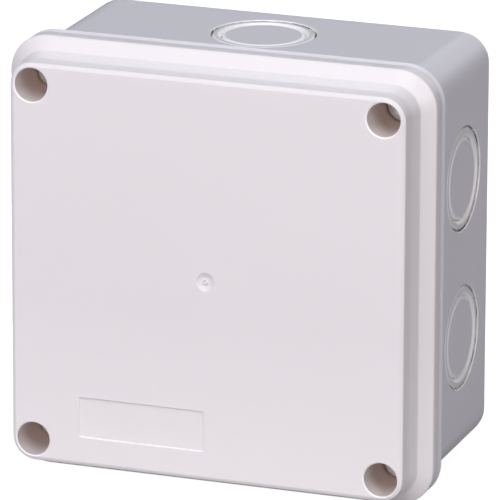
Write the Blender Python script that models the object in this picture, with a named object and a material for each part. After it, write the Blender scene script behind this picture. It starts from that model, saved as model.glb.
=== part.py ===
"""Square weatherproof junction box: base, screwed-on cover, seals and knockouts.

World frame, in metres: +Z is up, the box hangs on a wall behind it, the origin is the
centre of its wall face, +Y points into the wall and the cover faces -Y. A depth is
measured from the cover's front face towards the wall.
"""
import math

import bmesh
import bpy
from mathutils import Matrix, Vector

# Driving dimensions
FLANGE_HALF = 0.050            # half the width of the flange, the widest place
BOX_DEPTH = 0.0575             # cover face to wall face
GAP = 0.0003                   # clearance between touching pieces
SCREW_OFFSET = 0.04115         # screw axes, from the centre in X and in Z

# Base
RIM_FRONT = 0.0144             # depth of the rim's front face
RIM_BACK = 0.0157
BODY_HALF_FRONT = 0.0475       # outside, just behind the rim
BODY_HALF_BACK = 0.0472        # outside, at the wall: the draft of the mould
BODY_RADIUS = 0.0069
FLANGE_RADIUS = 0.00875
BACK_ROUND = 0.0022
CAVITY_HALF = 0.0450           # inside, at the mouth
CAVITY_HALF_DEEP = 0.0448      # inside, behind the screw pockets
BACK_WALL = 0.0025
TONGUE_HALF = 0.0464
TONGUE_FRONT = 0.0123
TONGUE_CORNER = 0.0090         # wide enough to fall inside the screw pockets
POCKET_RADIUS = 0.00535
POCKET_FLOOR = 0.0179
COLLAR_RADIUS = 0.00675        # solid corner round each pocket
COLLAR_END = 0.0204
BOSS_RADIUS = 0.0049
PILOT_RADIUS = 0.00215
PILOT_END = 0.0340
FIXING_OFFSET = 0.0300         # wall fixing holes, from the centre in X and in Z
FIXING_RADIUS = 0.0024
FIXING_COLLAR = 0.0046
FIXING_COLLAR_HEIGHT = 0.0025
PILLAR_OFFSET = 0.0170         # the two pillars for a terminal strip
PILLAR_RADIUS = 0.0032
PILLAR_HEIGHT = 0.0080
PILLAR_BORE = 0.0012
PILLAR_BORE_DEPTH = 0.0070

# Knockouts
KNOCKOUT_DEPTH = 0.0374        # depth of the knockout centres
KNOCKOUT_PITCH = 0.0370        # between two in one wall
OPENING_RADIUS = 0.01195
RING_INNER = 0.00960
DISC_FLAT = 0.00875            # the grooves' slopes start here on the disc,
RING_FLAT_INNER = 0.01015      # here and at
RING_FLAT_OUTER = 0.01140      # here on the ring
GROOVE_SINK = 0.00045          # how deep the two break-out grooves are
KNOCKOUT_FACE = 0.0472         # outer face, from the box's centre
KNOCKOUT_THICKNESS = 0.0014

# Cover
FACE_HALF = 0.0453
FACE_WALL = 0.0024
WALL_TOP = (0.0461, 0.0009)    # (half width, depth) down the raised panel
WALL_BREAK = (0.0463, 0.0039)
CREASE = (0.0470, 0.0079)
LEDGE_END = (0.0497, 0.0101)
SKIRT_TOP = 0.0105
SKIRT_END = 0.0141
PANEL_RADIUS = 0.0052
CHANNEL_HALF = 0.0467
CHANNEL_CORNER = 0.0076        # falls inside the screw tubes
CHANNEL_CEILING = 0.0102
RIB_HALF = 0.0447
RIB_NOTCH = 0.00705
RIB_END = 0.0135
COVER_CAVITY_HALF = 0.0436
COVER_CAVITY_NOTCH = 0.00815
TUBE_RADIUS = 0.00505
TUBE_END = 0.0176
WELL_RADIUS = 0.00385
WELL_FLOOR = 0.0159
CLEARANCE_RADIUS = 0.0023
LABEL_X = (-0.0300, -0.0004)   # shallow blank label field
LABEL_Z = (-0.0394, -0.0302)
LABEL_SINK = 0.0003
GATE_RADIUS = 0.0022           # mould gate mark at the centre of the face
GATE_SINK = 0.00022

# Seals and screws
GASKET_FRONT = 0.0105
GASKET_BACK = 0.0120
HEAD_FRONT = 0.0124
HEAD_RADIUS = 0.00335
HEAD_DOME = 0.0006
HEAD_FLAT = 0.62               # share of the head that is flat on top
HEAD_BACK = 0.0147
SHANK_RADIUS = 0.00185
SHANK_END = 0.0292
TIP_END = 0.0310
TIP_RADIUS = 0.0007
RECESS_LENGTH = 0.0042
RECESS_WIDTH = 0.0009
RECESS_DEPTH = 0.0014
WASHER_INNER = 0.00215
WASHER_OUTER = 0.0033

# Facets
CORNER_STEPS = 6
NOTCH_STEPS = 9
ROUND_SIDES = 24
SMALL_SIDES = 16
OVERSHOOT = 0.0020             # how far a cutter runs past the face it opens

ABS_FACE = (0.80, 0.78, 0.80, 1.0)
ABS_BODY = (0.74, 0.73, 0.76, 1.0)
RUBBER = (0.10, 0.10, 0.10, 1.0)
ZINC = (0.72, 0.72, 0.70, 1.0)


def clear_scene():
    for leftover in list(bpy.data.objects):
        bpy.data.objects.remove(leftover, do_unlink=True)


def give_material(obj, colour, roughness, metallic=0.0):
    material = bpy.data.materials.new(obj.name + "_material")
    material.use_nodes = True
    shader = material.node_tree.nodes["Principled BSDF"]
    shader.inputs["Base Color"].default_value = colour
    shader.inputs["Roughness"].default_value = roughness
    shader.inputs["Metallic"].default_value = metallic
    obj.data.materials.append(material)


def add_object(name, bm):
    bmesh.ops.recalc_face_normals(bm, faces=bm.faces)
    mesh = bpy.data.meshes.new(name)
    bm.to_mesh(mesh)
    bm.free()
    mesh.shade_smooth()
    mesh.set_sharp_from_angle(angle=math.radians(35))
    obj = bpy.data.objects.new(name, mesh)
    bpy.context.scene.collection.objects.link(obj)
    return obj


def y_at(depth):
    """World Y of a depth measured from the cover's front face."""
    return depth - BOX_DEPTH


# Outlines are lists of (x, z) points, anticlockwise seen from the front.

def rounded_square(half, radius):
    points = []
    for quarter in range(4):
        turn = quarter * math.pi / 2
        for step in range(CORNER_STEPS + 1):
            angle = turn + step / CORNER_STEPS * math.pi / 2
            centre_angle = turn + math.pi / 4
            centre = (half - radius) * math.sqrt(2)
            x = centre * math.cos(centre_angle) + radius * math.cos(angle)
            z = centre * math.sin(centre_angle) + radius * math.sin(angle)
            points.append((x, z))
    return points


def notched_square(half, notch):
    """A square whose corners curve inwards round the screw axes."""
    reach = math.sqrt(notch ** 2 - (half - SCREW_OFFSET) ** 2)
    start = math.atan2(-reach, half - SCREW_OFFSET)
    end = math.atan2(half - SCREW_OFFSET, -reach) - 2 * math.pi
    corner = []
    for step in range(NOTCH_STEPS + 1):
        angle = start + step / NOTCH_STEPS * (end - start)
        x = SCREW_OFFSET + notch * math.cos(angle)
        z = SCREW_OFFSET + notch * math.sin(angle)
        corner.append((x, z))
    points = []
    for quarter in range(4):
        turn = quarter * math.pi / 2
        for x, z in corner:
            points.append((x * math.cos(turn) - z * math.sin(turn),
                           x * math.sin(turn) + z * math.cos(turn)))
    return points


def circle(x, z, radius, sides):
    points = []
    for side in range(sides):
        angle = (side + 0.5) / sides * 2 * math.pi
        points.append((x + radius * math.cos(angle), z + radius * math.sin(angle)))
    return points


def rectangle(x_range, z_range):
    return [(x_range[0], z_range[0]), (x_range[1], z_range[0]),
            (x_range[1], z_range[1]), (x_range[0], z_range[1])]


def stack(bm, outlines):
    """Skin (outline, depth) pairs of equal point count, closed at both ends."""
    loops = []
    for outline, depth in outlines:
        loops.append([bm.verts.new((x, y_at(depth), z)) for x, z in outline])
    count = len(loops[0])
    for near, far in zip(loops, loops[1:]):
        for i in range(count):
            j = (i + 1) % count
            bm.faces.new((near[i], near[j], far[j], far[i]))
    bm.faces.new(loops[0])
    bm.faces.new(loops[-1])


def add_stack(name, outlines):
    bm = bmesh.new()
    stack(bm, outlines)
    return add_object(name, bm)


def add_prism(name, outline, front, back):
    return add_stack(name, [(outline, front), (outline, back)])


def screw_places():
    """Screw axes in order: upper left, upper right, lower right, lower left."""
    return [(-SCREW_OFFSET, SCREW_OFFSET), (SCREW_OFFSET, SCREW_OFFSET),
            (SCREW_OFFSET, -SCREW_OFFSET), (-SCREW_OFFSET, -SCREW_OFFSET)]


def add_columns(name, places, radius, front, back, sides=ROUND_SIDES):
    """One object of round columns, one at each (x, z) place."""
    bm = bmesh.new()
    for x, z in places:
        outline = circle(x, z, radius, sides)
        stack(bm, [(outline, front), (outline, back)])
    return add_object(name, bm)


def combine(target, tool, operation):
    """Add the boolean to the target and put the tool away as a guide."""
    modifier = target.modifiers.new(operation.lower() + "_" + tool.name, "BOOLEAN")
    modifier.operation = operation
    modifier.solver = "EXACT"
    modifier.object = tool
    tool.hide_render = True
    tool.hide_set(True)
    tool.display_type = "WIRE"


def knockout_places():
    """(name, wall angle about Y, shift along the wall) of each cable entry."""
    half = KNOCKOUT_PITCH / 2
    return [("top", 0.0, 0.0),
            ("right_upper", math.pi / 2, half), ("right_lower", math.pi / 2, -half),
            ("bottom_right", math.pi, half), ("bottom_left", math.pi, -half),
            ("left_lower", -math.pi / 2, half), ("left_upper", -math.pi / 2, -half)]


def knockout_frame(angle, shift):
    """Places a piece modelled on +Z, centred on the entry, on its own wall.

    The angle turns +Z towards +X; the shift runs along the wall: up on the right
    wall, down on the left wall and to the right on the bottom wall."""
    turn = Matrix.Rotation(angle, 4, "Y")
    along = Vector((-shift, y_at(KNOCKOUT_DEPTH), 0.0))
    return turn @ Matrix.Translation(along)


def turned(bm, profile, sides, frame, capped=False):
    """Turn a (radius, height) profile about the frame's own Z axis.

    A capped profile is closed by a flat face at each end; any other closes on itself."""
    loops = []
    for radius, height in profile:
        loop = []
        for side in range(sides):
            angle = side / sides * 2 * math.pi
            point = Vector((radius * math.cos(angle), radius * math.sin(angle), height))
            loop.append(bm.verts.new(frame @ point))
        loops.append(loop)
    pairs = list(zip(loops, loops[1:]))
    if capped:
        bm.faces.new(loops[0])
        bm.faces.new(loops[-1])
    else:
        pairs.append((loops[-1], loops[0]))
    for near, far in pairs:
        for i in range(sides):
            j = (i + 1) % sides
            bm.faces.new((near[i], near[j], far[j], far[i]))


def base_outline_stack():
    """Outside of the base: the rim, the drafted body and its rounded back edge."""
    rim = rounded_square(FLANGE_HALF, FLANGE_RADIUS)
    outlines = [(rim, RIM_FRONT), (rim, RIM_BACK)]
    outlines.append((rounded_square(BODY_HALF_FRONT, BODY_RADIUS), RIM_BACK))
    for step in range(4):
        angle = step / 3 * math.pi / 2
        inset = BACK_ROUND * (1 - math.cos(angle))
        depth = BOX_DEPTH - BACK_ROUND * (1 - math.sin(angle))
        outlines.append((rounded_square(BODY_HALF_BACK - inset, BODY_RADIUS - inset), depth))
    return outlines


def make_base():
    base = add_stack("base_box", base_outline_stack())
    tongue = rounded_square(TONGUE_HALF, TONGUE_CORNER)
    combine(base, add_prism("tongue_solid", tongue, TONGUE_FRONT, RIM_BACK - GAP), "UNION")

    mouth = notched_square(CAVITY_HALF, COLLAR_RADIUS)
    inside = notched_square(CAVITY_HALF_DEEP, BOSS_RADIUS)
    floor = BOX_DEPTH - BACK_WALL
    cavity = add_stack("cavity_cutter", [(mouth, TONGUE_FRONT - OVERSHOOT), (mouth, COLLAR_END),
                                         (inside, COLLAR_END), (inside, floor)])
    combine(base, cavity, "DIFFERENCE")

    places = screw_places()
    pockets = add_columns("pocket_cutter", places, POCKET_RADIUS,
                          TONGUE_FRONT - OVERSHOOT, POCKET_FLOOR)
    combine(base, pockets, "DIFFERENCE")
    pilots = add_columns("pilot_cutter", places, PILOT_RADIUS,
                         POCKET_FLOOR - OVERSHOOT, PILOT_END, SMALL_SIDES)
    combine(base, pilots, "DIFFERENCE")

    add_floor_features(base, floor)
    openings = bmesh.new()
    outline = [(OPENING_RADIUS, CAVITY_HALF_DEEP - OVERSHOOT), (OPENING_RADIUS, FLANGE_HALF)]
    for _, angle, shift in knockout_places():
        turned(openings, outline, ROUND_SIDES, knockout_frame(angle, shift), capped=True)
    combine(base, add_object("entry_cutter", openings), "DIFFERENCE")
    give_material(base, ABS_BODY, 0.42)


def add_floor_features(base, floor):
    """Collared wall fixing holes and the two terminal pillars on the back wall."""
    fixings = [(x, z) for x in (-FIXING_OFFSET, FIXING_OFFSET)
               for z in (-FIXING_OFFSET, FIXING_OFFSET)]
    pillars = [(-PILLAR_OFFSET, 0.0), (PILLAR_OFFSET, 0.0)]
    root = floor + BACK_WALL / 2
    collar_top = floor - FIXING_COLLAR_HEIGHT
    pillar_top = floor - PILLAR_HEIGHT
    combine(base, add_columns("fixing_collars", fixings, FIXING_COLLAR, collar_top, root,
                              SMALL_SIDES), "UNION")
    combine(base, add_columns("pillar_columns", pillars, PILLAR_RADIUS, pillar_top, root,
                              SMALL_SIDES), "UNION")
    combine(base, add_columns("fixing_cutter", fixings, FIXING_RADIUS, collar_top - OVERSHOOT,
                              BOX_DEPTH + OVERSHOOT, SMALL_SIDES), "DIFFERENCE")
    combine(base, add_columns("pillar_cutter", pillars, PILLAR_BORE, pillar_top - OVERSHOOT,
                              pillar_top + PILLAR_BORE_DEPTH, SMALL_SIDES), "DIFFERENCE")


def make_knockouts():
    """A break-out ring round a break-out disc in each cable entry."""
    back = KNOCKOUT_FACE - KNOCKOUT_THICKNESS
    groove = KNOCKOUT_FACE - GROOVE_SINK
    ring_outer = OPENING_RADIUS - GAP
    disc_outer = RING_INNER - GAP
    ring = [(ring_outer, back), (ring_outer, groove), (RING_FLAT_OUTER, KNOCKOUT_FACE),
            (RING_FLAT_INNER, KNOCKOUT_FACE), (RING_INNER, groove), (RING_INNER, back)]
    disc = [(disc_outer, back), (disc_outer, groove), (DISC_FLAT, KNOCKOUT_FACE)]
    for name, angle, shift in knockout_places():
        frame = knockout_frame(angle, shift)
        ring_mesh = bmesh.new()
        turned(ring_mesh, ring, ROUND_SIDES, frame)
        give_material(add_object("knockout_ring_" + name, ring_mesh), ABS_BODY, 0.42)
        disc_mesh = bmesh.new()
        turned(disc_mesh, disc, ROUND_SIDES, frame, capped=True)
        give_material(add_object("knockout_disc_" + name, disc_mesh), ABS_BODY, 0.42)


def cover_outline_stack():
    """Outside of the cover: face, raised panel wall, sloping ledge and skirt."""
    rise = WALL_TOP[0] - FACE_HALF
    outlines = []
    for step in range(3):
        angle = step / 2 * math.pi / 2
        half = FACE_HALF + rise * math.sin(angle)
        radius = PANEL_RADIUS - WALL_TOP[0] + half
        outlines.append((rounded_square(half, radius), WALL_TOP[1] * (1 - math.cos(angle))))
    flange_shift = FLANGE_RADIUS - FLANGE_HALF
    for half, depth in (WALL_BREAK, CREASE):
        outlines.append((rounded_square(half, PANEL_RADIUS - WALL_TOP[0] + half), depth))
    outlines.append((rounded_square(LEDGE_END[0], flange_shift + LEDGE_END[0]), LEDGE_END[1]))
    skirt = rounded_square(FLANGE_HALF, FLANGE_RADIUS)
    outlines.extend([(skirt, SKIRT_TOP), (skirt, SKIRT_END)])
    return outlines


def make_cover():
    cover = add_stack("cover", cover_outline_stack())
    channel = rounded_square(CHANNEL_HALF, CHANNEL_CORNER)
    combine(cover, add_prism("channel_cutter", channel, CHANNEL_CEILING,
                             SKIRT_END + OVERSHOOT), "DIFFERENCE")
    rib = notched_square(RIB_HALF, RIB_NOTCH)
    combine(cover, add_prism("rib_solid", rib, CHANNEL_CEILING - OVERSHOOT, RIB_END), "UNION")
    inside = notched_square(COVER_CAVITY_HALF, COVER_CAVITY_NOTCH)
    combine(cover, add_prism("hollow_cutter", inside, FACE_WALL,
                             SKIRT_END + OVERSHOOT), "DIFFERENCE")

    places = screw_places()
    combine(cover, add_columns("screw_tubes", places, TUBE_RADIUS, FACE_WALL, TUBE_END), "UNION")
    combine(cover, add_columns("well_cutter", places, WELL_RADIUS, -OVERSHOOT,
                               WELL_FLOOR), "DIFFERENCE")
    combine(cover, add_columns("clearance_cutter", places, CLEARANCE_RADIUS,
                               WELL_FLOOR - OVERSHOOT, TUBE_END + OVERSHOOT,
                               SMALL_SIDES), "DIFFERENCE")
    label = add_prism("label_cutter", rectangle(LABEL_X, LABEL_Z), -OVERSHOOT, LABEL_SINK)
    combine(cover, label, "DIFFERENCE")
    gate = add_columns("gate_cutter", [(0.0, 0.0)], GATE_RADIUS, -OVERSHOOT, GATE_SINK,
                       SMALL_SIDES)
    combine(cover, gate, "DIFFERENCE")
    give_material(cover, ABS_FACE, 0.40)


def make_gasket():
    """One closed strip that stands in the cover's channel, in front of the tongue."""
    outer = notched_square(TONGUE_HALF, POCKET_RADIUS + GAP)
    inner = notched_square(CAVITY_HALF, COLLAR_RADIUS)
    bm = bmesh.new()
    loops = []
    for outline, depth in ((outer, GASKET_FRONT), (outer, GASKET_BACK),
                           (inner, GASKET_BACK), (inner, GASKET_FRONT)):
        loops.append([bm.verts.new((x, y_at(depth), z)) for x, z in outline])
    count = len(outer)
    for near, far in zip(loops, loops[1:] + loops[:1]):
        for i in range(count):
            j = (i + 1) % count
            bm.faces.new((near[i], near[j], far[j], far[i]))
    give_material(add_object("cover_gasket", bm), RUBBER, 0.8)


def screw_profile():
    """(radius, distance along +Y from the screw's origin) from head to tip."""
    profile = []
    for step in range(4):
        angle = step / 3 * math.pi / 2
        radius = HEAD_RADIUS * (HEAD_FLAT + (1 - HEAD_FLAT) * math.sin(angle))
        profile.append((radius, HEAD_DOME * (1 - math.cos(angle))))
    head_height = HEAD_BACK - HEAD_FRONT
    profile.append((HEAD_RADIUS, head_height))
    profile.append((SHANK_RADIUS, head_height))
    profile.append((SHANK_RADIUS, SHANK_END - HEAD_FRONT))
    profile.append((TIP_RADIUS, TIP_END - HEAD_FRONT))
    return profile


def make_screw_mesh(name):
    """A cross-recess screw along +Y whose head's front is at the origin."""
    bm = bmesh.new()
    along_y = Matrix.Rotation(-math.pi / 2, 4, "X")
    turned(bm, screw_profile(), SMALL_SIDES, along_y, capped=True)
    screw = add_object(name, bm)
    long_half = RECESS_LENGTH / 2
    thin_half = RECESS_WIDTH / 2
    for number, half_x, half_z in ((1, long_half, thin_half), (2, thin_half, long_half)):
        slot = add_prism("recess_cutter_%d" % number,
                         rectangle((-half_x, half_x), (-half_z, half_z)),
                         y_to_depth(-OVERSHOOT), y_to_depth(RECESS_DEPTH))
        combine(screw, slot, "DIFFERENCE")
    return screw


def y_to_depth(y):
    return y + BOX_DEPTH


def frozen_mesh(obj):
    """The mesh of an object with its modifiers worked in."""
    graph = bpy.context.evaluated_depsgraph_get()
    return bpy.data.meshes.new_from_object(obj.evaluated_get(graph))


def make_screws():
    """Four cover screws and the sealing washer under each head."""
    pattern = make_screw_mesh("screw_pattern")
    mesh = frozen_mesh(pattern)
    mesh.shade_smooth()
    mesh.set_sharp_from_angle(angle=math.radians(35))
    bpy.data.objects.remove(pattern, do_unlink=True)
    for number, (x, z) in enumerate(screw_places(), start=1):
        screw = bpy.data.objects.new("cover_screw_%d" % number, mesh.copy())
        bpy.context.scene.collection.objects.link(screw)
        screw.location = (x, y_at(HEAD_FRONT), z)
        give_material(screw, ZINC, 0.35, 1.0)
        make_washer(number, x, z)


def make_washer(number, x, z):
    front = HEAD_BACK + GAP
    back = WELL_FLOOR - GAP
    profile = [(WASHER_OUTER, front), (WASHER_OUTER, back),
               (WASHER_INNER, back), (WASHER_INNER, front)]
    along_y = Matrix.Rotation(-math.pi / 2, 4, "X")
    bm = bmesh.new()
    turned(bm, profile, SMALL_SIDES, along_y)
    washer = add_object("screw_seal_%d" % number, bm)
    washer.location = (x, y_at(0.0), z)
    give_material(washer, RUBBER, 0.75)


def main():
    clear_scene()
    make_base()
    make_knockouts()
    make_cover()
    make_gasket()
    make_screws()


main()
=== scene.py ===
"""Looks for the square junction box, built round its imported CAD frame.

World frame, in metres: +Z is up, the cover faces -Y and the wall face is at Y = 0. A
depth is measured from the cover's front face towards the wall, as in the CAD part.
"""
import math

import bmesh
import bpy
from mathutils import Matrix, Quaternion, Vector, noise


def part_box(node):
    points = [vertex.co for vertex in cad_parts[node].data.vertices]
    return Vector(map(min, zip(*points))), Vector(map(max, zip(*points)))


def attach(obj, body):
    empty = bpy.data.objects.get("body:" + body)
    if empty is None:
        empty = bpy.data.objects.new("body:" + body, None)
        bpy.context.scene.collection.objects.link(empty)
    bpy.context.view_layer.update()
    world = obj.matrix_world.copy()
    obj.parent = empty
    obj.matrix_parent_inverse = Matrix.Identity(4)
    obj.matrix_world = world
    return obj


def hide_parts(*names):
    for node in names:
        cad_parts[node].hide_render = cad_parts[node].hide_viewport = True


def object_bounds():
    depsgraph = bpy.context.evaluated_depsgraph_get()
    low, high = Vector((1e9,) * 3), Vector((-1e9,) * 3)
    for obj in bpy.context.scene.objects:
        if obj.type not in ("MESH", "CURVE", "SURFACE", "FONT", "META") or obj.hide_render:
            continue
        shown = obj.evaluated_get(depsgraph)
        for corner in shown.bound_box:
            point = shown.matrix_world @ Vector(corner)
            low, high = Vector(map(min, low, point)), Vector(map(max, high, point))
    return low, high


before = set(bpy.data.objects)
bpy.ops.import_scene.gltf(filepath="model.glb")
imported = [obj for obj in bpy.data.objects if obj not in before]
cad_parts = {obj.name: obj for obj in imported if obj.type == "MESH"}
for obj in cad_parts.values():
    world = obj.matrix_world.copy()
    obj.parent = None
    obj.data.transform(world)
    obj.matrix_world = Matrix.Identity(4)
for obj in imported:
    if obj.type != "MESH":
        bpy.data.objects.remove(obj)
cad_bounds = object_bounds()

# Places taken from the frame
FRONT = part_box("cover")[0].y                  # the cover's front face
FLANGE_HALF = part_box("cover")[1].x
BOX_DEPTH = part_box("base_box")[1].y - FRONT
SCREW_AXES = {}                               # screw number: its axis, (x, z)
for number in range(1, 5):
    low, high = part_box("cover_screw_%d" % number)
    SCREW_AXES[number] = ((low.x + high.x) / 2, (low.z + high.z) / 2)
SCREW_OFFSET = SCREW_AXES[2][0]               # the axes lie this far out, each way
ENTRIES = ["top", "right_upper", "right_lower", "bottom_right", "bottom_left",
           "left_lower", "left_upper"]

# Cover: half widths, depths and radii
FACE_START = 0.0446
FACE_BEVEL = (0.0453, 0.0)
WALL_TOP = (0.04620, 0.00048)
WALL_BREAK = (0.04624, 0.0043)
CREASE = (0.0470, 0.0079)
LEDGE_END = 0.01034
SKIRT_SWELL = 0.0120
SKIRT_END = 0.0146
SKIRT_INSET = 0.0003
PANEL_RADIUS = 0.0061                         # corner radius at the crease
FLANGE_RADIUS = 0.00875
FACE_WALL = 0.0024
CHANNEL_HALF = 0.0467
CHANNEL_CORNER = 0.0076
CHANNEL_CEILING = 0.0102
RIB_HALF = 0.0447
RIB_NOTCH = 0.00705
RIB_END = 0.0135
COVER_CAVITY_HALF = 0.0436
COVER_CAVITY_NOTCH = 0.00815
TUBE_RADIUS = 0.0048
TUBE_END = 0.0176
WELL_RADIUS = 0.00385
WELL_RIM = 0.00031                            # how far the flared mouth grows, and how deep
WELL_RIM_DEPTH = 0.00022
WELL_FLOOR = 0.0159
CLEARANCE_RADIUS = 0.0023
LABEL_CENTRE = (-0.0152, -0.0348)
LABEL_HALF = (0.0148, 0.0046)
LABEL_SINK = 0.00040
GATE_RADIUS = 0.0022
GATE_SINK = 0.00062
STUB_RADIUS = 0.00085
STUB_HEIGHT = 0.00030
STUB_ROUGHNESS = 0.00075
PIT_RADIUS = 0.00024
PIT_DEPTH = 0.0007
GATE_GRAIN = 0.00016

# Base
RIM_FRONT = 0.01495
RIM_BACK = 0.0161
RIM_TILT = 0.00048                            # how much the rim narrows towards the front
BODY_HALF = 0.0475                            # just behind the rim
BODY_HALF_BACK = 0.0474                       # at the wall
BODY_RADIUS = 0.0069
BACK_ROUND = 0.0034
CAVITY_HALF = 0.0450
CAVITY_HALF_DEEP = 0.0448
BACK_WALL = 0.0025
TONGUE_HALF = 0.0464
TONGUE_FRONT = 0.0123
TONGUE_CORNER = 0.0090
POCKET_RADIUS = 0.00535
POCKET_FLOOR = 0.0179
COLLAR_RADIUS = 0.00675
COLLAR_END = 0.0204
BOSS_RADIUS = 0.0049
PILOT_RADIUS = 0.00215
PILOT_END = 0.0340
FIXING_OFFSET = 0.0300
FIXING_RADIUS = 0.0024
FIXING_COLLAR = 0.0046
FIXING_COLLAR_HEIGHT = 0.0025
PILLAR_OFFSET = 0.0170
PILLAR_RADIUS = 0.0032
PILLAR_HEIGHT = 0.0080
PILLAR_BORE = 0.0012
PILLAR_BORE_DEPTH = 0.0070
PIN_RADIUS = 0.0026                           # the marks of the mould's ejector pins
PIN_SINK = 0.00012
PIN_PLACES = [(x, z) for x in (-0.036, 0.036) for z in (-0.012, 0.012)]

# Knockouts: radii, and heights above the wall's outer face
KNOCKOUT_DEPTH = 0.0374                       # of the entries' axes, as a box depth
OPENING_RADIUS = 0.01182
OPENING_MOUTH = 0.01215
OPENING_EDGE = -0.00050                       # where the opening's chamfer meets its bore
SPECKS_AND_SHADE_TOP = -0.00024                           # how far up the chamfer the dark marks come: partly real specks, partly painted shade at its foot
RING_OUTER = 0.01150
RING_FLAT_OUTER = 0.01118
RING_FLAT_INNER = 0.01032
RING_INNER = 0.00958
DISC_OUTER = 0.00935
DISC_FLAT = 0.00860
RING_FACE = -0.00014
DISC_FACE = -0.00032                          # the disc sits a little below the wall
GROOVE = -0.00080                             # the web between the ring and the disc
RING_STEP = -0.00050                          # the foot of the ring's outer slope
OUTER_GROOVE = -0.00070                       # the web between the ring and the wall
WEB_BACK = -0.0011
KNOCKOUT_BACK = -0.0014

# Seals and screws
GASKET_FRONT = 0.0105
GASKET_BACK = 0.0120
GASKET_ROUND = 0.0003
HEAD_FRONT = 0.0118
HEAD_RADIUS = 0.00335
HEAD_BACK = 0.0147
HEAD_CROWN = 0.0007                           # how far the head's edge lies behind its front
SHANK_RADIUS = 0.00185
THREAD_DEPTH = 0.0004
THREAD_PITCH = 0.0014
SHANK_END = 0.0292
TIP_END = 0.0310
RECESS_HALF = 0.0021
RECESS_ARM = 0.00045
RECESS_DEPTH = 0.0014
WASHER_INNER = 0.00215
WASHER_OUTER = 0.0033
WASHER_FRONT = 0.0150
WASHER_BACK = 0.0156
WASHER_ROUND = 0.00022

# Painted light: the cover's colour gets paler between these heights, standing in for the brighter
# light on the lower part of the face
PAINTED_LIGHT_START = -0.008
PAINTED_LIGHT_END = -0.048

# Facets
CORNER_STEPS = 14
NOTCH_STEPS = 16
SIDES = 64
GATE_RINGS = 25
THREAD_SIDES = 24
THREAD_STEPS = 8                              # rings in one turn of the thread
OVERSHOOT = 0.0020
SHARP_ANGLE = math.radians(32)

# Camera and studio
AZIMUTH = math.radians(19.98)
ELEVATION = math.radians(16.83)
ROLL = math.radians(0.169)
DISTANCE = 1.4532
LENS = 466.02
AIM_SHIFT = Vector((0.00011, -0.00016, -0.00062))
FLOOR_HALF = 8.0
LAMPS = [                                     # name, azimuth, elevation, distance, size, power, colour
    ("key", 0.0, 31.0, 1.7, 0.9, 3.0, (1.0, 0.98, 0.985)),
    ("key_high", 0.0, 55.0, 1.7, 1.0, 10.9, (0.92, 0.965, 1.0)),
    ("key_left", -40.0, 25.0, 1.7, 0.9, 3.2, (1.0, 0.87, 0.87)),
    ("key_right", 54.0, 25.0, 1.7, 0.9, 8.4, (1.0, 0.925, 0.885)),
    ("low_front", 0.0, 8.0, 1.7, 0.5, 6.4, (1.0, 0.94, 0.95)),
    ("overhead", 0.0, 88.0, 1.5, 1.0, 4.9, (0.88, 0.94, 1.0)),
    ("back_fill", 178.0, 4.0, 1.7, 0.9, 3.6, (1.0, 0.98, 0.98)),
    ("top_back", -158.0, 50.0, 1.5, 0.45, 2.4, (0.93, 0.94, 1.0)),
]


# ---------------------------------------------------------------- outlines and profiles

def soften(points, steps=4):
    """Round each (u, v, reach) corner, from that far before it to that far after it.

    Many profiles end with a point whose only use is to give the corner before it a
    direction: it lies on the flat cap of the loft.
    """
    soft = []
    for i, (u, v, reach) in enumerate(points):
        if reach == 0:
            soft.append((u, v))
            continue
        corner = Vector((u, v))
        before = (Vector(points[i - 1][:2]) - corner).normalized()
        after = (Vector(points[(i + 1) % len(points)][:2]) - corner).normalized()
        for step in range(steps + 1):
            s = step / steps
            pull = before * reach * (1 - s) ** 2 + after * reach * s ** 2
            soft.append(tuple(corner + pull))
    return soft


def rounded_rectangle(centre, half_x, half_z, radius, steps=CORNER_STEPS):
    points = []
    for quarter in range(4):
        turn = quarter * math.pi / 2
        side_x = 1 if quarter in (0, 3) else -1
        side_z = 1 if quarter in (0, 1) else -1
        for step in range(steps + 1):
            angle = turn + step / steps * math.pi / 2
            x = centre[0] + side_x * (half_x - radius) + radius * math.cos(angle)
            z = centre[1] + side_z * (half_z - radius) + radius * math.sin(angle)
            points.append((x, z))
    return points


def rounded_square(half, radius):
    return rounded_rectangle((0.0, 0.0), half, half, radius)


def notched_square(half, notch):
    """A square whose corners curve inwards round the screw axes."""
    side = half - SCREW_OFFSET
    reach = math.sqrt(notch ** 2 - side ** 2)
    start = math.atan2(-reach, side)
    end = math.atan2(side, -reach) - 2 * math.pi
    points = []
    for quarter in range(4):
        turn = quarter * math.pi / 2
        for step in range(NOTCH_STEPS + 1):
            angle = start + step / NOTCH_STEPS * (end - start)
            x = SCREW_OFFSET + notch * math.cos(angle)
            z = SCREW_OFFSET + notch * math.sin(angle)
            points.append((x * math.cos(turn) - z * math.sin(turn),
                           x * math.sin(turn) + z * math.cos(turn)))
    return points


def circle(centre, radius, sides=SIDES):
    points = []
    for side in range(sides):
        angle = (side + 0.5) / sides * 2 * math.pi
        points.append((centre[0] + radius * math.cos(angle),
                       centre[1] + radius * math.sin(angle)))
    return points


def cover_outline(half):
    """Corners go from the raised panel's radius at the crease to the flange's."""
    if half <= CREASE[0]:
        return rounded_square(half, PANEL_RADIUS - CREASE[0] + half)
    share = (half - CREASE[0]) / (FLANGE_HALF - CREASE[0])
    return rounded_square(half, PANEL_RADIUS + share * (FLANGE_RADIUS - PANEL_RADIUS))


def notched_layers(profile, notch):
    """Layers of a notched outline along a (half, depth, reach) profile, which it softens."""
    start = profile[0][0]
    return [(notched_square(half, notch + start - half), depth)
            for half, depth in soften(profile)]


def base_outline(half):
    if half <= BODY_HALF:
        return rounded_square(half, BODY_RADIUS - BODY_HALF + half)
    share = (half - BODY_HALF) / (FLANGE_HALF - BODY_HALF)
    return rounded_square(half, BODY_RADIUS + share * (FLANGE_RADIUS - BODY_RADIUS))


# ---------------------------------------------------------------- meshes

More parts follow.
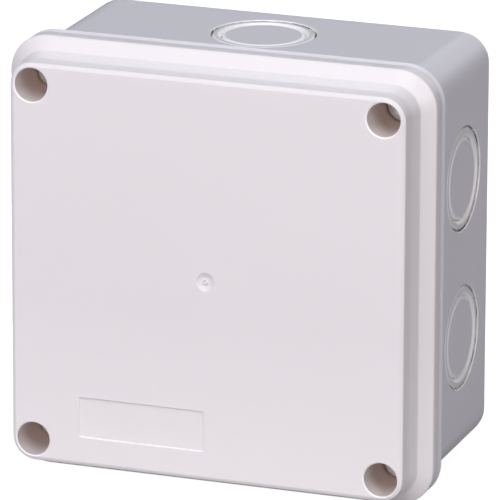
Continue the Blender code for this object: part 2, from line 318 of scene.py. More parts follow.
def add_piece(name, bm, material):
    bmesh.ops.recalc_face_normals(bm, faces=bm.faces)
    mesh = bpy.data.meshes.new(name)
    bm.to_mesh(mesh)
    bm.free()
    mesh.materials.append(material)
    piece = bpy.data.objects.new(name, mesh)
    bpy.context.scene.collection.objects.link(piece)
    return piece


def skin(bm, loops, closed_ring=False):
    """Join loops of equal count with quads; the ends are capped unless they join up."""
    count = len(loops[0])
    pairs = list(zip(loops, loops[1:]))
    if closed_ring:
        pairs.append((loops[-1], loops[0]))
    for near, far in pairs:
        for i in range(count):
            j = (i + 1) % count
            bm.faces.new((near[i], near[j], far[j], far[i]))
    if not closed_ring:
        bm.faces.new(loops[0])
        bm.faces.new(loops[-1])


def loft_into(bm, layers):
    """Skin (outline, depth) layers."""
    loops = []
    for outline, depth in layers:
        loops.append([bm.verts.new((x, FRONT + depth, z)) for x, z in outline])
    skin(bm, loops)


def loft(name, layers, material):
    bm = bmesh.new()
    loft_into(bm, layers)
    return add_piece(name, bm, material)


def columns(name, centres, profile, material, sides=SIDES):
    """Round columns of one (radius, depth, reach) profile, one at each centre."""
    bm = bmesh.new()
    for centre in centres:
        layers = [(circle(centre, radius, sides), depth) for radius, depth in soften(profile)]
        loft_into(bm, layers)
    return add_piece(name, bm, material)


def lathe_into(bm, profile, place, closed_ring=False, sides=SIDES):
    """Turn (radius, height) points about the Z axis of the matrix place."""
    loops = []
    for radius, height in profile:
        loop = []
        for side in range(sides):
            angle = side / sides * 2 * math.pi
            point = Vector((radius * math.cos(angle), radius * math.sin(angle), height))
            loop.append(bm.verts.new(place @ point))
        loops.append(loop)
    skin(bm, loops, closed_ring)


def combine(target, tool, operation):
    """Work the tool into the target, with the tool's material on its faces."""
    modifier = target.modifiers.new("work", "BOOLEAN")
    modifier.operation = operation
    modifier.solver = "EXACT"
    modifier.material_mode = "TRANSFER"
    modifier.object = tool
    graph = bpy.context.evaluated_depsgraph_get()
    worked = bpy.data.meshes.new_from_object(target.evaluated_get(graph))
    target.modifiers.clear()
    target.data = worked
    bpy.data.objects.remove(tool, do_unlink=True)


def finish_piece(piece, body, slot, *nodes):
    """Clean and shade the mesh, and hang the piece on its body in place of the nodes."""
    bm = bmesh.new()
    bm.from_mesh(piece.data)
    bmesh.ops.remove_doubles(bm, verts=bm.verts, dist=1e-6)
    bmesh.ops.dissolve_degenerate(bm, edges=bm.edges, dist=1e-6)
    bm.to_mesh(piece.data)
    bm.free()
    piece.data.shade_smooth()
    piece.data.set_sharp_from_angle(angle=SHARP_ANGLE)
    normals = piece.modifiers.new("normals", "WEIGHTED_NORMAL")
    normals.keep_sharp = True
    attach(piece, body)
    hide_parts(*nodes)


# ---------------------------------------------------------------- materials

def node(tree, kind, **settings):
    made = tree.nodes.new(kind)
    for key, value in settings.items():
        if key in made.inputs:
            made.inputs[key].default_value = value
        else:
            setattr(made, key, value)
    return made


def noise_node(tree, place, scale, detail=3.0, rough=0.5):
    made = node(tree, "ShaderNodeTexNoise", Scale=scale, Detail=detail, Roughness=rough)
    tree.links.new(place.outputs["Object"], made.inputs["Vector"])
    return made.outputs["Fac"]


def remap(tree, value, low, high, to_low, to_high):
    made = node(tree, "ShaderNodeMapRange")
    tree.links.new(value, made.inputs["Value"])
    made.inputs["From Min"].default_value = low
    made.inputs["From Max"].default_value = high
    made.inputs["To Min"].default_value = to_low
    made.inputs["To Max"].default_value = to_high
    return made.outputs["Result"]


def blend_colours(tree, share, first, second):
    """Mix two colours, each a colour socket or four numbers."""
    made = node(tree, "ShaderNodeMix", data_type="RGBA")
    tree.links.new(share, made.inputs["Factor"])
    for socket, colour in ((made.inputs[6], first), (made.inputs[7], second)):
        if isinstance(colour, tuple):
            socket.default_value = colour
        else:
            tree.links.new(colour, socket)
    return made.outputs[2]


def new_material(name):
    material = bpy.data.materials.new(name)
    material.use_nodes = True
    tree = material.node_tree
    place = tree.nodes.new("ShaderNodeTexCoord")
    return material, tree, place, tree.nodes["Principled BSDF"]


def add_bump(tree, shader, height, strength, distance):
    bump = node(tree, "ShaderNodeBump", Strength=strength, Distance=distance)
    tree.links.new(height, bump.inputs["Height"])
    tree.links.new(bump.outputs["Normal"], shader.inputs["Normal"])


def make_plastic(name, light, dark, roughness, low=None):
    """Moulded plastic: faint cloudy colour, paler low down if asked as painted light for the brighter
    light low on the face, and a fine satin grain.
    """
    material, tree, place, shader = new_material(name)
    clouds = remap(tree, noise_node(tree, place, 30.0, 0.0), 0.2, 0.8, 0.0, 1.0)
    colour = blend_colours(tree, clouds, dark, light)
    # Painted light: blend towards the paler low colour down the piece, for the brighter light low on
    # the face.
    if low:
        axes = node(tree, "ShaderNodeSeparateXYZ")
        tree.links.new(place.outputs["Object"], axes.inputs["Vector"])
        painted_light_share = remap(tree, axes.outputs["Z"], PAINTED_LIGHT_START, PAINTED_LIGHT_END, 0.0, 1.0)
        colour = blend_colours(tree, painted_light_share, colour, low)
    tree.links.new(colour, shader.inputs["Base Color"])
    shader.inputs["Roughness"].default_value = roughness
    grain = noise_node(tree, place, 2600.0, 2.0, 0.6)
    add_bump(tree, shader, grain, 0.10, 0.00004)
    return material


def make_well_plastic(name, rim, deep, depth):
    """The cover's plastic inside a screw well, with painted light: grey at the rim as painted shade,
    paler and warmer below as painted warm bounce light.
    """
    material, tree, place, shader = new_material(name)
    axes = node(tree, "ShaderNodeSeparateXYZ")
    tree.links.new(place.outputs["Object"], axes.inputs["Vector"])
    painted_light_share = remap(tree, axes.outputs["Y"], FRONT, FRONT + depth, 0.0, 1.0)
    colour = blend_colours(tree, painted_light_share, rim, deep)
    # Random patches blend in more of the painted warm light colour.
    patches = remap(tree, noise_node(tree, place, 700.0, 4.0), 0.45, 0.75, 0.0, 0.35)
    colour = blend_colours(tree, patches, colour, deep)
    tree.links.new(colour, shader.inputs["Base Color"])
    shader.inputs["Roughness"].default_value = 0.5
    add_bump(tree, shader, noise_node(tree, place, 1600.0, 2.0), 0.15, 0.00006)
    return material


def make_web_plastic(name, plain, specks_and_shade, marks_from, marks_full, scale):
    """The torn-looking web in a break-out groove: plastic with brown marks, partly real specks and
    partly painted shade of the narrow gaps.
    """
    material, tree, place, shader = new_material(name)
    marks = remap(tree, noise_node(tree, place, scale, 5.0, 0.65), marks_from, marks_full, 0.0, 1.0)
    colour = blend_colours(tree, marks, plain, specks_and_shade)
    tree.links.new(colour, shader.inputs["Base Color"])
    shader.inputs["Roughness"].default_value = 0.55
    add_bump(tree, shader, noise_node(tree, place, 900.0, 4.0), 0.4, 0.0001)
    return material


def make_rubber(name, colour, patches):
    material, tree, place, shader = new_material(name)
    bloom = remap(tree, noise_node(tree, place, 350.0, 4.0), 0.45, 0.8, 0.0, 0.6)
    tree.links.new(blend_colours(tree, bloom, colour, patches), shader.inputs["Base Color"])
    rough = remap(tree, noise_node(tree, place, 900.0), 0.3, 0.7, 0.62, 0.80)
    tree.links.new(rough, shader.inputs["Roughness"])
    add_bump(tree, shader, noise_node(tree, place, 2200.0, 2.0), 0.3, 0.00005)
    return material


def make_zinc(name, bright, dull):
    material, tree, place, shader = new_material(name)
    bloom = remap(tree, noise_node(tree, place, 600.0, 4.0), 0.35, 0.7, 0.0, 1.0)
    tree.links.new(blend_colours(tree, bloom, bright, dull), shader.inputs["Base Color"])
    rough = remap(tree, noise_node(tree, place, 1400.0), 0.3, 0.7, 0.34, 0.50)
    tree.links.new(rough, shader.inputs["Roughness"])
    shader.inputs["Metallic"].default_value = 0.55
    add_bump(tree, shader, noise_node(tree, place, 3000.0, 2.0), 0.12, 0.00003)
    return material


# The cover's last colour is painted light: the paler colour it takes on low down.
COVER_PLASTIC = make_plastic("cover_abs", (0.797, 0.770, 0.796, 1), (0.790, 0.763, 0.789, 1), 0.36,
                             (0.866, 0.840, 0.862, 1))
# Painted shade: the base's plastic is a darker, bluer copy of the cover's, standing in for the dimmer,
# bluer light the base gets.
BASE_PLASTIC = make_plastic("base_abs_shaded_copy", (0.726, 0.717, 0.772, 1), (0.718, 0.709, 0.764, 1), 0.32)
# Painted highlight: a paler copy of the base's plastic for the slopes and chamfers that catch the
# light.
SLOPE_HIGHLIGHT_PLASTIC = make_plastic("slope_highlight_abs", (0.95, 0.935, 0.955, 1), (0.90, 0.885, 0.91, 1), 0.40)
# Painted highlight: a paler copy of the cover's plastic for the bright ring round each well's mouth.
RIM_HIGHLIGHT_PLASTIC = make_plastic("well_rim_highlight_abs", (0.96, 0.95, 0.96, 1), (0.95, 0.94, 0.95, 1), 0.34)
# Painted light in the screw wells: darker grey at the mouth as painted shade, paler and warmer deeper
# in as painted warm bounce light.
WELL_PAINTED_LIGHT_PLASTIC = make_well_plastic("well_abs_painted_light", (0.64, 0.60, 0.615, 1), (0.95, 0.79, 0.71, 1), 0.012)
# Web: its plain colour, paler than the base's plastic, is a painted highlight on the groove floor; its
# dark brown marks are partly real specks, partly painted shade in the narrow gaps.
WEB_PLASTIC = make_web_plastic("web_abs", (0.84, 0.83, 0.85, 1), (0.30, 0.22, 0.17, 1),
                               0.50, 0.60, 420.0)
# At the groove's foot: dark brown marks, partly real specks, partly painted shade in the narrow gap.
FLASH_PLASTIC = make_web_plastic("flash_abs", (0.70, 0.68, 0.68, 1), (0.15, 0.10, 0.07, 1),
                                 0.45, 0.58, 170.0)
RUBBER = make_rubber("seal_rubber_black", (0.025, 0.025, 0.026, 1), (0.10, 0.10, 0.10, 1))
ZINC = make_zinc("zinc_plated_steel", (0.86, 0.86, 0.86, 1), (0.74, 0.73, 0.70, 1))


# ---------------------------------------------------------------- cover

def cover_profile():
    """(half width, depth, softening) down the outside, from the face to the skirt's end."""
    return [(FACE_START, 0.0, 0.0), (*FACE_BEVEL, 0.00022), (*WALL_TOP, 0.00030),
            (*WALL_BREAK, 0.00045), (*CREASE, 0.00035), (FLANGE_HALF, LEDGE_END, 0.00035),
            (FLANGE_HALF, SKIRT_SWELL, 0.0008),
            (FLANGE_HALF - SKIRT_INSET, SKIRT_END, 0.00018), (CHANNEL_HALF + 0.001, SKIRT_END, 0.0)]


def gate_cutter():
    """A shallow dish with a torn stub left standing in it, and a small pit in the stub."""
    stub = Vector((-0.00005, -0.00010))
    pit = Vector((-0.00032, 0.00016))
    bm = bmesh.new()
    loops = [[bm.verts.new((x, FRONT - OVERSHOOT, z)) for x, z in circle((0, 0), GATE_RADIUS)]]
    for ring in range(GATE_RINGS):
        radius = 1 - ring / GATE_RINGS
        loop = []
        for x, z in circle((0, 0), GATE_RADIUS * radius):
            spot = Vector((x, z))
            depth = GATE_SINK * (1 - radius ** 3.2)
            near_stub = max(0.0, 1 - ((spot - stub).length / STUB_RADIUS) ** 2)
            near_pit = max(0.0, 1 - ((spot - pit).length / PIT_RADIUS) ** 2)
            rough = noise.noise(Vector((x, 0.0, z)) * 2500)
            depth -= near_stub * (STUB_HEIGHT + STUB_ROUGHNESS * rough)
            depth += PIT_DEPTH * near_pit
            depth += GATE_GRAIN * noise.noise(Vector((x, 0.5, z)) * 1300) * (1 - radius)
            loop.append(bm.verts.new((x, FRONT + max(0.0, depth), z)))
        loops.append(loop)
    skin(bm, loops)
    return add_piece("gate_cutter", bm, COVER_PLASTIC)


def label_cutter():
    """The blank label field: a shallow recess with a chamfered edge."""
    chamfer = 0.00020
    corner = 0.0003
    profile = soften([(chamfer, -OVERSHOOT, 0.0), (chamfer, 0.0, 0.0), (0.0, 0.00016, 0.00005),
                      (0.0, LABEL_SINK, 0.00008), (-0.002, LABEL_SINK, 0.0)], 3)
    layers = []
    for grow, depth in profile:
        outline = rounded_rectangle(LABEL_CENTRE, LABEL_HALF[0] + grow, LABEL_HALF[1] + grow,
                                    corner + max(0.0, grow), 4)
        layers.append((outline, depth))
    return loft("label_cutter", layers, COVER_PLASTIC)


def hollow_cover(cover):
    """Cut the gasket's channel, stand the rib beside it and cut the hollow inside it."""
    channel = soften([(CHANNEL_HALF, SKIRT_END + OVERSHOOT, 0.0),
                      (CHANNEL_HALF, CHANNEL_CEILING, 0.0004),
                      (CHANNEL_HALF - 0.001, CHANNEL_CEILING, 0.0)])
    layers = [(rounded_square(half, CHANNEL_CORNER - CHANNEL_HALF + half), depth)
              for half, depth in channel]
    combine(cover, loft("channel", layers, COVER_PLASTIC), "DIFFERENCE")
    rib = [(RIB_HALF, CHANNEL_CEILING - OVERSHOOT, 0.0), (RIB_HALF, RIB_END, 0.00025),
           (RIB_HALF - 0.0005, RIB_END, 0.0)]
    combine(cover, loft("rib", notched_layers(rib, RIB_NOTCH), COVER_PLASTIC), "UNION")
    hollow = [(COVER_CAVITY_HALF, SKIRT_END + OVERSHOOT, 0.0),
              (COVER_CAVITY_HALF, FACE_WALL, 0.0008), (COVER_CAVITY_HALF - 0.002, FACE_WALL, 0.0)]
    combine(cover, loft("hollow", notched_layers(hollow, COVER_CAVITY_NOTCH), COVER_PLASTIC),
            "DIFFERENCE")


def add_wells(cover):
    """Screw tubes behind the face, each with a well, a flared mouth and a clearance hole."""
    axes = list(SCREW_AXES.values())
    tube = [(TUBE_RADIUS, FACE_WALL - 0.0008, 0.0), (TUBE_RADIUS, TUBE_END, 0.0003),
            (CLEARANCE_RADIUS, TUBE_END, 0.0)]
    combine(cover, columns("tubes", axes, tube, COVER_PLASTIC), "UNION")
    well = [(WELL_RADIUS + WELL_RIM, -OVERSHOOT, 0.0), (WELL_RADIUS + WELL_RIM, 0.0, 0.0),
            (WELL_RADIUS, WELL_RIM_DEPTH, 0.00012), (WELL_RADIUS, WELL_FLOOR, 0.0003),
            (CLEARANCE_RADIUS, WELL_FLOOR, 0.0)]
    wells = columns("wells", axes, well, WELL_PAINTED_LIGHT_PLASTIC)
    # The flared mouth of each well gets the paler plastic, a painted highlight.
    wells.data.materials.append(RIM_HIGHLIGHT_PLASTIC)
    for face in wells.data.polygons:
        if FRONT < face.center.y < FRONT + WELL_RIM_DEPTH:
            face.material_index = 1
    combine(cover, wells, "DIFFERENCE")
    hole = [(CLEARANCE_RADIUS, WELL_FLOOR - OVERSHOOT, 0.0),
            (CLEARANCE_RADIUS, TUBE_END - 0.0002, 0.0),
            (CLEARANCE_RADIUS + 0.0004, TUBE_END + 0.0002, 0.0)]
    combine(cover, columns("clearances", axes, hole, WELL_PAINTED_LIGHT_PLASTIC), "DIFFERENCE")


def make_cover():
    layers = [(cover_outline(half), depth) for half, depth in soften(cover_profile(), 5)]
    cover = loft("cover_shell", layers, COVER_PLASTIC)
    hollow_cover(cover)
    add_wells(cover)
    combine(cover, label_cutter(), "DIFFERENCE")
    combine(cover, gate_cutter(), "DIFFERENCE")
    finish_piece(cover, "cover", "cover_plastic", "cover")


# ---------------------------------------------------------------- base

def draft_angle():
    return math.atan2(BODY_HALF - BODY_HALF_BACK, BOX_DEPTH - BACK_ROUND - RIM_BACK)


def wall_half(depth):
    """Half width of the drafted body at a depth."""
    return BODY_HALF - math.tan(draft_angle()) * (depth - RIM_BACK)


def entry_frame(name):
    """A frame on an entry's axis with +Z out of its wall and Z = 0 on the wall's face."""
    low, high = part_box("knockout_disc_" + name)
    centre = (low + high) / 2
    if abs(centre.z) > abs(centre.x):
        angle = 0.0 if centre.z > 0 else math.pi
        shift = centre.x * math.cos(angle)
    else:
        angle = math.copysign(math.pi / 2, centre.x)
        shift = -centre.z * math.sin(angle)
    place = Vector((shift, FRONT + KNOCKOUT_DEPTH, wall_half(KNOCKOUT_DEPTH)))
    return (Matrix.Rotation(angle, 4, "Y") @ Matrix.Translation(place)
            @ Matrix.Rotation(-draft_angle(), 4, "X"))


def base_profile():
    slope = math.tan(draft_angle())
    back_half = BODY_HALF - slope * (BOX_DEPTH - RIM_BACK)
    return [(TONGUE_HALF, RIM_FRONT, 0.0), (FLANGE_HALF - RIM_TILT, RIM_FRONT, 0.00010),
            (FLANGE_HALF, RIM_BACK - 0.00015, 0.00012), (FLANGE_HALF, RIM_BACK, 0.00003),
            (BODY_HALF, RIM_BACK, 0.00030),
            (back_half, BOX_DEPTH, BACK_ROUND), (back_half - 0.004, BOX_DEPTH, 0.0)]


def make_base():
    layers = [(base_outline(half), depth) for half, depth in soften(base_profile(), 6)]
    base = loft("base_shell", layers, BASE_PLASTIC)
    tongue = soften([(TONGUE_HALF - 0.0006, TONGUE_FRONT, 0.0), (TONGUE_HALF, TONGUE_FRONT, 0.0003),
                     (TONGUE_HALF, RIM_BACK - 0.0003, 0.0)])
    layers = [(rounded_square(half, TONGUE_CORNER - TONGUE_HALF + half), depth)
              for half, depth in tongue]
    combine(base, loft("tongue", layers, BASE_PLASTIC), "UNION")
    floor = BOX_DEPTH - BACK_WALL
    mouth = [(CAVITY_HALF, TONGUE_FRONT - OVERSHOOT, 0.0), (CAVITY_HALF, COLLAR_END, 0.0)]
    combine(base, loft("mouth", notched_layers(mouth, COLLAR_RADIUS), BASE_PLASTIC), "DIFFERENCE")
    inside = [(CAVITY_HALF_DEEP, COLLAR_END - 0.0001, 0.0), (CAVITY_HALF_DEEP, floor, 0.0012),
              (CAVITY_HALF_DEEP - 0.003, floor, 0.0)]
    combine(base, loft("inside", notched_layers(inside, BOSS_RADIUS), BASE_PLASTIC), "DIFFERENCE")

    axes = list(SCREW_AXES.values())
    pocket = [(POCKET_RADIUS, TONGUE_FRONT - OVERSHOOT, 0.0), (POCKET_RADIUS, POCKET_FLOOR, 0.0004),
              (PILOT_RADIUS, POCKET_FLOOR, 0.0)]
    combine(base, columns("pockets", axes, pocket, BASE_PLASTIC), "DIFFERENCE")
    pilot = [(PILOT_RADIUS + 0.0006, POCKET_FLOOR - 0.0004, 0.0),
             (PILOT_RADIUS, POCKET_FLOOR + 0.0004, 0.0), (PILOT_RADIUS, PILOT_END, 0.0)]
    combine(base, columns("pilots", axes, pilot, BASE_PLASTIC), "DIFFERENCE")
    add_floor_features(base, floor)
    combine(base, entry_cutter(), "DIFFERENCE")
    finish_piece(base, "base", "base_plastic", "base_box")


def entry_cutter():
    """Chamfered round openings for the break-out pieces: the chamfer is paler, a painted highlight,
    with dark brown marks at its foot, partly real specks and partly painted shade.
    """
    # Up to this radius the chamfer's foot gets the dark brown marks: partly real specks, partly
    # painted shade of the gap.
    specks_and_shade_radius = OPENING_RADIUS + (OPENING_MOUTH - OPENING_RADIUS) * 0.45
    opening = [(OPENING_RADIUS, -0.004), (OPENING_RADIUS, OPENING_EDGE),
               (OPENING_RADIUS + 0.00004, OPENING_EDGE + 0.0001), (specks_and_shade_radius, SPECKS_AND_SHADE_TOP),
               (OPENING_MOUTH - 0.00003, -0.00006), (OPENING_MOUTH, 0.00002),
               (OPENING_MOUTH, 0.002)]
    bm = bmesh.new()
    for name in ENTRIES:
        lathe_into(bm, opening, entry_frame(name))
    # The chamfer's upper part keeps the paler plastic, a painted highlight.
    mouths = add_piece("mouths", bm, SLOPE_HIGHLIGHT_PLASTIC)
    mouths.data.materials.append(FLASH_PLASTIC)
    mouths.data.materials.append(BASE_PLASTIC)
    for name in ENTRIES:
        to_entry = entry_frame(name).inverted()
        for face in mouths.data.polygons:
            local = to_entry @ face.center
            if math.hypot(local.x, local.y) > 1.2 * OPENING_MOUTH or abs(local.z) > 0.003:
                continue                       # another entry's face, or a cap deep in the wall
            if local.z < OPENING_EDGE - 0.00005:
                face.material_index = 2
            elif local.z < SPECKS_AND_SHADE_TOP:
                face.material_index = 1
    return mouths


def add_floor_features(base, floor):
    """Wall fixing holes in collars, the two strip pillars and the ejector pins' marks."""
    fixings = [(x, z) for x in (-FIXING_OFFSET, FIXING_OFFSET)
               for z in (-FIXING_OFFSET, FIXING_OFFSET)]
    pillars = [(-PILLAR_OFFSET, 0.0), (PILLAR_OFFSET, 0.0)]
    collar_top = floor - FIXING_COLLAR_HEIGHT
    pillar_top = floor - PILLAR_HEIGHT
    collar = [(FIXING_COLLAR - 0.0008, collar_top, 0.0), (FIXING_COLLAR, collar_top, 0.0003),
              (FIXING_COLLAR, floor, 0.0004), (FIXING_COLLAR + 0.0005, floor, 0.0),
              (FIXING_COLLAR + 0.0005, floor + 0.0005, 0.0)]
    combine(base, columns("collars", fixings, collar, BASE_PLASTIC), "UNION")
    pillar = [(PILLAR_RADIUS - 0.0006, pillar_top, 0.0), (PILLAR_RADIUS, pillar_top, 0.0003),
              (PILLAR_RADIUS, floor, 0.0005), (PILLAR_RADIUS + 0.0006, floor, 0.0),
              (PILLAR_RADIUS + 0.0006, floor + 0.0005, 0.0)]
    combine(base, columns("pillars", pillars, pillar, BASE_PLASTIC), "UNION")
    hole = [(FIXING_RADIUS + 0.0003, collar_top - OVERSHOOT, 0.0),
            (FIXING_RADIUS + 0.0003, collar_top, 0.0), (FIXING_RADIUS, collar_top + 0.0003, 0.0),
            (FIXING_RADIUS, BOX_DEPTH - 0.0005, 0.0), (FIXING_RADIUS + 0.0005, BOX_DEPTH, 0.0),
            (FIXING_RADIUS + 0.0005, BOX_DEPTH + OVERSHOOT, 0.0)]
    combine(base, columns("fixing_holes", fixings, hole, BASE_PLASTIC), "DIFFERENCE")
    bore = [(PILLAR_BORE + 0.0003, pillar_top - OVERSHOOT, 0.0),
            (PILLAR_BORE + 0.0003, pillar_top, 0.0), (PILLAR_BORE, pillar_top + 0.0004, 0.0),
            (PILLAR_BORE, pillar_top + PILLAR_BORE_DEPTH, 0.0)]
    combine(base, columns("pillar_bores", pillars, bore, BASE_PLASTIC, 32), "DIFFERENCE")
    pin = [(PIN_RADIUS, floor - OVERSHOOT, 0.0), (PIN_RADIUS, floor + PIN_SINK, 0.0)]
    combine(base, columns("pin_marks", PIN_PLACES, pin, BASE_PLASTIC, 40), "DIFFERENCE")


# ---------------------------------------------------------------- knockouts

def paint_slopes(piece, place, face_height):
    """Whiten the slopes of a ring or disc as a painted highlight, and mark the webs at the foot of
    them with dark brown marks, partly real specks and partly painted shade.

    The back of the piece, which shows inside the box, stays plain.
    """
    for material in (SLOPE_HIGHLIGHT_PLASTIC, WEB_PLASTIC, FLASH_PLASTIC):
        piece.data.materials.append(material)
    for face in piece.data.polygons:
        local = place.inverted() @ face.center
        if local.z < WEB_BACK + 0.00005:
            continue
        # The outer groove's foot and the groove floors get the marked web plastics: dark brown marks,
        # partly real specks and partly painted shade.
        if math.hypot(local.x, local.y) > RING_OUTER - 0.00008 and local.z < RING_STEP:
            face.material_index = 3
        elif local.z < GROOVE * 0.98:
            face.material_index = 2
        # The slopes get the paler plastic, a painted highlight.
        elif local.z < face_height - 0.00002:
            face.material_index = 1


def make_knockouts():
    """A ring and a disc in each entry; the ring carries the thin webs in the grooves."""
    ring = soften([(RING_OUTER, KNOCKOUT_BACK, 0.0), (RING_OUTER, WEB_BACK, 0.0),
                   (OPENING_RADIUS - 0.00001, WEB_BACK, 0.0),
                   (OPENING_RADIUS - 0.00001, OUTER_GROOVE, 0.0),
                   (RING_OUTER, OUTER_GROOVE, 0.0), (RING_OUTER, RING_STEP, 0.00004),
                   (RING_FLAT_OUTER, RING_FACE, 0.00007),
                   (RING_FLAT_INNER, RING_FACE, 0.00009), (RING_INNER, GROOVE, 0.00004),
                   (DISC_OUTER + 0.00001, GROOVE - 0.00005, 0.0),
                   (DISC_OUTER + 0.00001, WEB_BACK, 0.0), (RING_INNER, WEB_BACK, 0.0),
                   (RING_INNER, KNOCKOUT_BACK, 0.0)], 3)
    disc = soften([(DISC_OUTER, KNOCKOUT_BACK, 0.0), (DISC_OUTER, GROOVE, 0.0),
                   (DISC_FLAT, DISC_FACE, 0.00009), (DISC_FLAT - 0.0005, DISC_FACE, 0.0)], 3)
    for name in ENTRIES:
        place = entry_frame(name)
        bm = bmesh.new()
        lathe_into(bm, ring, place, closed_ring=True)
        piece = add_piece("entry_ring_" + name, bm, BASE_PLASTIC)
        paint_slopes(piece, place, RING_FACE)
        finish_piece(piece, "base", "base_plastic", "knockout_ring_" + name)
        bm = bmesh.new()
        lathe_into(bm, disc, place)
        piece = add_piece("entry_disc_" + name, bm, BASE_PLASTIC)
        paint_slopes(piece, place, DISC_FACE)
        finish_piece(piece, "base", "base_plastic", "knockout_disc_" + name)


# ---------------------------------------------------------------- seals and screws

def make_gasket():
    """A soft strip in the gap between the tongue and the channel's ceiling."""
    width = TONGUE_HALF - CAVITY_HALF
    outer_notch = POCKET_RADIUS + 0.0003
    notch_growth = (COLLAR_RADIUS - outer_notch) / width
    section = soften([(0.0, GASKET_FRONT, GASKET_ROUND), (0.0, GASKET_BACK, GASKET_ROUND),
                      (width, GASKET_BACK, GASKET_ROUND), (width, GASKET_FRONT, GASKET_ROUND)], 3)
    bm = bmesh.new()
    loops = []
    for inset, depth in section:
        outline = notched_square(TONGUE_HALF - inset, outer_notch + notch_growth * inset)
        loops.append([bm.verts.new((x, FRONT + depth, z)) for x, z in outline])
    skin(bm, loops, closed_ring=True)
    finish_piece(add_piece("gasket_strip", bm, RUBBER), "cover", "seal_rubber", "cover_gasket")


def thread_height(turns, along):
    """0 at the root of the thread and 1 at its crest."""
    phase = (along / THREAD_PITCH - turns) % 1.0
    return max(0.0, 1 - abs(phase - 0.5) * 3.2)


def screw_loops(bm):
    """Head, threaded shank and point, turned about Y, the head's front at depth 0."""
    head = HEAD_BACK - HEAD_FRONT
    profile = soften([(0.0009, 0.0, 0.0), (HEAD_RADIUS * 0.70, 0.0, 0.0007),
                      (HEAD_RADIUS, HEAD_CROWN, 0.0003), (HEAD_RADIUS, head, 0.0002),
                      (SHANK_RADIUS, head, 0.0002), (SHANK_RADIUS, head + 0.0006, 0.0)], 4)
    rings = [(radius, along, 0.0) for radius, along in profile]
    start = head + 0.0009
    end = SHANK_END - HEAD_FRONT
    tip = TIP_END - HEAD_FRONT
    count = int((tip - start) / THREAD_PITCH * THREAD_STEPS)
    for ring in range(count + 1):
        along = start + (tip - start) * ring / count
        taper = 1.0 if along < end else 1 - 0.72 * (along - end) / (tip - end)
        rings.append((SHANK_RADIUS * taper, along, THREAD_DEPTH * taper))
    loops = []
    for radius, along, groove in rings:
        loop = []
        for side in range(THREAD_SIDES):
            turns = side / THREAD_SIDES
            cut = radius - groove * (1 - thread_height(turns, along))
            angle = turns * 2 * math.pi
            loop.append(bm.verts.new((cut * math.cos(angle), along, cut * math.sin(angle))))
        loops.append(loop)
    skin(bm, loops)


def cross_outline(half, arm):
    return [(arm, arm), (arm, half), (-arm, half), (-arm, arm), (-half, arm), (-half, -arm),
            (-arm, -arm), (-arm, -half), (arm, -half), (arm, -arm), (half, -arm), (half, arm)]


def make_screw(number, x, z):
    """A screw with a cross recess; each of the four stands at another angle."""
    bm = bmesh.new()
    screw_loops(bm)
    screw = add_piece("lid_screw_%d" % number, bm, ZINC)
    recess = bmesh.new()
    loops = []
    for half, arm, y in ((RECESS_HALF * 1.1, RECESS_ARM * 1.1, -0.0005),
                         (RECESS_HALF, RECESS_ARM, 0.0),
                         (RECESS_HALF * 0.35, RECESS_ARM * 0.7, RECESS_DEPTH)):
        loops.append([recess.verts.new((u, y, v)) for u, v in cross_outline(half, arm)])
    skin(recess, loops)
    combine(screw, add_piece("recess", recess, ZINC), "DIFFERENCE")
    turn = Matrix.Rotation(math.radians(31 * number), 4, "Y")
    screw.data.transform(Matrix.Translation((x, FRONT + HEAD_FRONT, z)) @ turn)
    finish_piece(screw, "cover_screw_%d" % number, "zinc_steel", "cover_screw_%d" % number)


def make_washer(number, x, z):
    corners = [(WASHER_OUTER, WASHER_FRONT), (WASHER_OUTER, WASHER_BACK),
               (WASHER_INNER, WASHER_BACK), (WASHER_INNER, WASHER_FRONT)]
    section = soften([(radius, depth, WASHER_ROUND) for radius, depth in corners], 3)
    place = Matrix.Translation((x, FRONT, z)) @ Matrix.Rotation(-math.pi / 2, 4, "X")
    bm = bmesh.new()
    lathe_into(bm, section, place, closed_ring=True, sides=48)
    washer = add_piece("seal_washer_%d" % number, bm, RUBBER)
    finish_piece(washer, "screw_seal_%d" % number, "seal_rubber", "screw_seal_%d" % number)


# ---------------------------------------------------------------- studio

def make_floor():
    """A grey floor, brightened for the camera so that it reads as studio white."""
    bm = bmesh.new()
    corners = [(-FLOOR_HALF, -FLOOR_HALF), (FLOOR_HALF, -FLOOR_HALF), (FLOOR_HALF, FLOOR_HALF),
               (-FLOOR_HALF, FLOOR_HALF)]
    bm.faces.new([bm.verts.new((x, y, -FLANGE_HALF - 0.0001)) for x, y in corners])
    material, tree, _, shader = new_material("floor_paper")
    shader.inputs["Base Color"].default_value = (0.46, 0.46, 0.47, 1)
    shader.inputs["Roughness"].default_value = 0.9
    shader.inputs["Specular IOR Level"].default_value = 0.0
    path = node(tree, "ShaderNodeLightPath")
    lift = remap(tree, path.outputs["Is Camera Ray"], 0.0, 1.0, 0.0, 0.90)
    shader.inputs["Emission Color"].default_value = (1, 1, 1, 1)
    tree.links.new(lift, shader.inputs["Emission Strength"])
    floor = add_piece("studio_floor", bm, material)


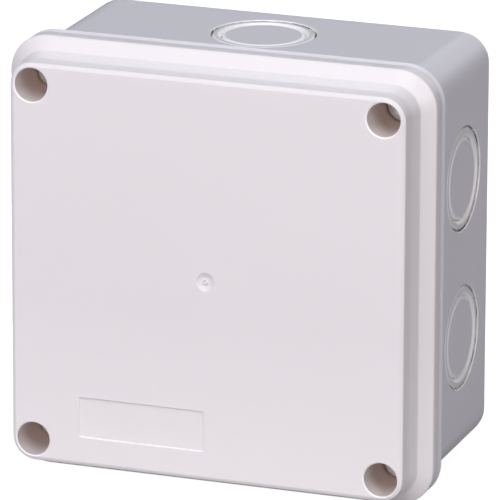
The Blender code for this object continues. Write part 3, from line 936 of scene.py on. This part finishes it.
def add_light(name, azimuth, elevation, distance, size, power, colour):
    """A square area light that looks at the origin, the middle of the box's wall face."""
    azimuth = math.radians(azimuth)
    elevation = math.radians(elevation)
    light = bpy.data.lights.new(name, "AREA")
    light.shape = "SQUARE"
    light.size = size
    light.energy = power
    light.color = colour
    lamp = bpy.data.objects.new(name, light)
    toward = Vector((math.sin(azimuth) * math.cos(elevation),
                     -math.cos(azimuth) * math.cos(elevation), math.sin(elevation)))
    lamp.location = toward * distance
    lamp.rotation_euler = toward.to_track_quat("Z", "Y").to_euler()
    lamp.visible_camera = False
    bpy.context.scene.collection.objects.link(lamp)


def make_world():
    """Dim, slightly blue light from all round; the camera sees plain white."""
    world = bpy.data.worlds.new("studio")
    world.use_nodes = True
    bpy.context.scene.world = world
    tree = world.node_tree
    sky = tree.nodes["Background"]
    path = tree.nodes.new("ShaderNodeLightPath")
    colour = blend_colours(tree, path.outputs["Is Camera Ray"], (0.058, 0.058, 0.068, 1),
                           (1.0, 1.0, 1.0, 1))
    tree.links.new(colour, sky.inputs["Color"])


def make_camera():
    low, high = cad_bounds
    aim = (Vector(low) + Vector(high)) / 2 + AIM_SHIFT
    away = Vector((math.sin(AZIMUTH) * math.cos(ELEVATION),
                   -math.cos(AZIMUTH) * math.cos(ELEVATION), math.sin(ELEVATION)))
    data = bpy.data.cameras.new("camera")
    data.lens = LENS
    data.sensor_width = 36.0
    data.clip_end = 50.0
    camera = bpy.data.objects.new("camera", data)
    camera.location = aim + away * DISTANCE
    turn = (-away).to_track_quat("-Z", "Y") @ Quaternion((0, 0, 1), ROLL)
    camera.rotation_euler = turn.to_euler()
    bpy.context.scene.collection.objects.link(camera)
    bpy.context.scene.camera = camera


make_camera()
make_cover()
make_base()
make_knockouts()
make_gasket()
for number, (x, z) in SCREW_AXES.items():
    make_screw(number, x, z)
    make_washer(number, x, z)
make_floor()
make_world()
for lamp in LAMPS:
    add_light(*lamp)
bpy.context.scene.view_settings.view_transform = "Standard"
